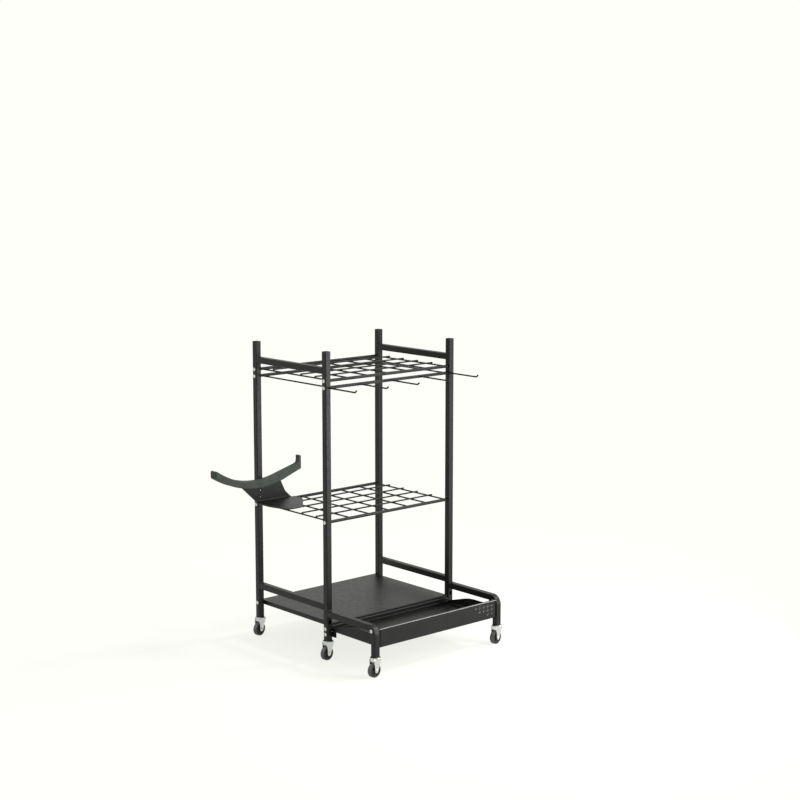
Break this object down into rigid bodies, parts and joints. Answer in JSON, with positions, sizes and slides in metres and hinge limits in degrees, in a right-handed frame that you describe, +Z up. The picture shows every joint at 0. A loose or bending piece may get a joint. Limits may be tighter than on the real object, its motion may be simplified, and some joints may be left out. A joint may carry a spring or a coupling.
{
  "type": "freestanding garden tool rack",
  "caption": "Rolling black steel rack with two wire lattices, a row of forward prongs, a side cradle, a shelf and a low front tray, on swivel casters.",
  "frame": {"origin": "on the floor under the middle of the whole rack's bounding box", "axes": "+Z up, +X to the rack's right as seen from the tray side, +Y to the back"},
  "size_m": [0.5824, 0.492, 0.779],
  "materials": {
    "powder_coat": "satin black powder coat",
    "zinc_plate": "bright zinc plate",
    "zinc_screw": "zinc plate",
    "black_plastic": "moulded, fine matte",
    "wheel_plastic": "moulded, semi-gloss",
    "pad": "soft dark grey foam rubber",
    "tread": "soft grey-black tread"
  },
  "bodies": {
    "rack": {"base_screws": "zinc_screw", "bracket_screws": "zinc_screw", "caster_sockets": "black_plastic", "caster_stems": "zinc_plate", "cradle_pad": "pad", "crossbar": "powder_coat", "front_leg_left": "powder_coat", "front_leg_right": "powder_coat", "front_tray": "powder_coat", "hook_prongs": "powder_coat", "lower_bar_left": "powder_coat", "lower_bar_right": "powder_coat", "lower_rail_front": "powder_coat", "lower_rail_rear": "powder_coat", "lower_side_wires": "powder_coat", "middle_cross_wires": "powder_coat", "middle_depth_wires": "powder_coat", "middle_post_left": "powder_coat", "middle_post_right": "powder_coat", "middle_rail_front": "powder_coat", "middle_rail_rear": "powder_coat", "post_caps": "black_plastic", "rail_screws": "zinc_screw", "rear_post_left": "powder_coat", "rear_post_right": "powder_coat", "rear_shelf": "powder_coat", "tool_bracket": "powder_coat", "top_bar_left": "powder_coat", "top_bar_right": "powder_coat", "top_cross_wires": "powder_coat", "top_depth_wires": "powder_coat", "upper_rail_front": "powder_coat", "upper_rail_rear": "powder_coat"},
    "rear_left_caster": {"rear_left_fork": "zinc_plate", "rear_left_axle": "zinc_plate"},
    "rear_left_roller": {"rear_left_wheel": "wheel_plastic", "rear_left_tyre": "tread"},
    "rear_right_caster": {"rear_right_fork": "zinc_plate", "rear_right_axle": "zinc_plate"},
    "rear_right_roller": {"rear_right_wheel": "wheel_plastic", "rear_right_tyre": "tread"},
    "middle_left_caster": {"middle_left_fork": "zinc_plate", "middle_left_axle": "zinc_plate"},
    "middle_left_roller": {"middle_left_wheel": "wheel_plastic", "middle_left_tyre": "tread"},
    "middle_right_caster": {"middle_right_fork": "zinc_plate", "middle_right_axle": "zinc_plate"},
    "middle_right_roller": {"middle_right_wheel": "wheel_plastic", "middle_right_tyre": "tread"},
    "front_left_caster": {"front_left_fork": "zinc_plate", "front_left_axle": "zinc_plate"},
    "front_left_roller": {"front_left_wheel": "wheel_plastic", "front_left_tyre": "tread"},
    "front_right_caster": {"front_right_fork": "zinc_plate", "front_right_axle": "zinc_plate"},
    "front_right_roller": {"front_right_wheel": "wheel_plastic", "front_right_tyre": "tread"}
  },
  "joints": [
    {"name": "rear_left_swivel", "type": "hinge", "parent": "rack", "child": "rear_left_caster", "pos_m": [-0.13571, 0.23255, 0.0495], "axis": [0, 0, 1], "continuous": true},
    {"name": "rear_left_roll", "type": "hinge", "parent": "rear_left_caster", "child": "rear_left_roller", "pos_m": [-0.14011, 0.23161, 0.0175], "axis": [-0.2079, 0.9781, 0], "continuous": true},
    {"name": "rear_right_swivel", "type": "hinge", "parent": "rack", "child": "rear_right_caster", "pos_m": [0.27729, 0.23255, 0.0495], "axis": [0, 0, 1], "continuous": true},
    {"name": "rear_right_roll", "type": "hinge", "parent": "rear_right_caster", "child": "rear_right_roller", "pos_m": [0.2728, 0.23231, 0.0175], "axis": [-0.0523, 0.9986, 0], "continuous": true},
    {"name": "middle_left_swivel", "type": "hinge", "parent": "rack", "child": "middle_left_caster", "pos_m": [-0.13571, -0.05045, 0.0495], "axis": [0, 0, 1], "continuous": true},
    {"name": "middle_left_roll", "type": "hinge", "parent": "middle_left_caster", "child": "middle_left_roller", "pos_m": [-0.14017, -0.051, 0.0175], "axis": [-0.1219, 0.9925, 0], "continuous": true},
    {"name": "middle_right_swivel", "type": "hinge", "parent": "rack", "child": "middle_right_caster", "pos_m": [0.27729, -0.05045, 0.0495], "axis": [0, 0, 1], "continuous": true},
    {"name": "middle_right_roll", "type": "hinge", "parent": "middle_right_caster", "child": "middle_right_roller", "pos_m": [0.27292, -0.05154, 0.0175], "axis": [-0.2419, 0.9703, 0], "continuous": true},
    {"name": "front_left_swivel", "type": "hinge", "parent": "rack", "child": "front_left_caster", "pos_m": [-0.13571, -0.23255, 0.0495], "axis": [0, 0, 1], "continuous": true},
    {"name": "front_left_roll", "type": "hinge", "parent": "front_left_caster", "child": "front_left_roller", "pos_m": [-0.14019, -0.23294, 0.0175], "axis": [-0.0872, 0.9962, 0], "continuous": true},
    {"name": "front_right_swivel", "type": "hinge", "parent": "rack", "child": "front_right_caster", "pos_m": [0.27729, -0.23255, 0.0495], "axis": [0, 0, 1], "continuous": true},
    {"name": "front_right_roll", "type": "hinge", "parent": "front_right_caster", "child": "front_right_roller", "pos_m": [0.27285, -0.23325, 0.0175], "axis": [-0.1564, 0.9877, 0], "continuous": true}
  ]
}
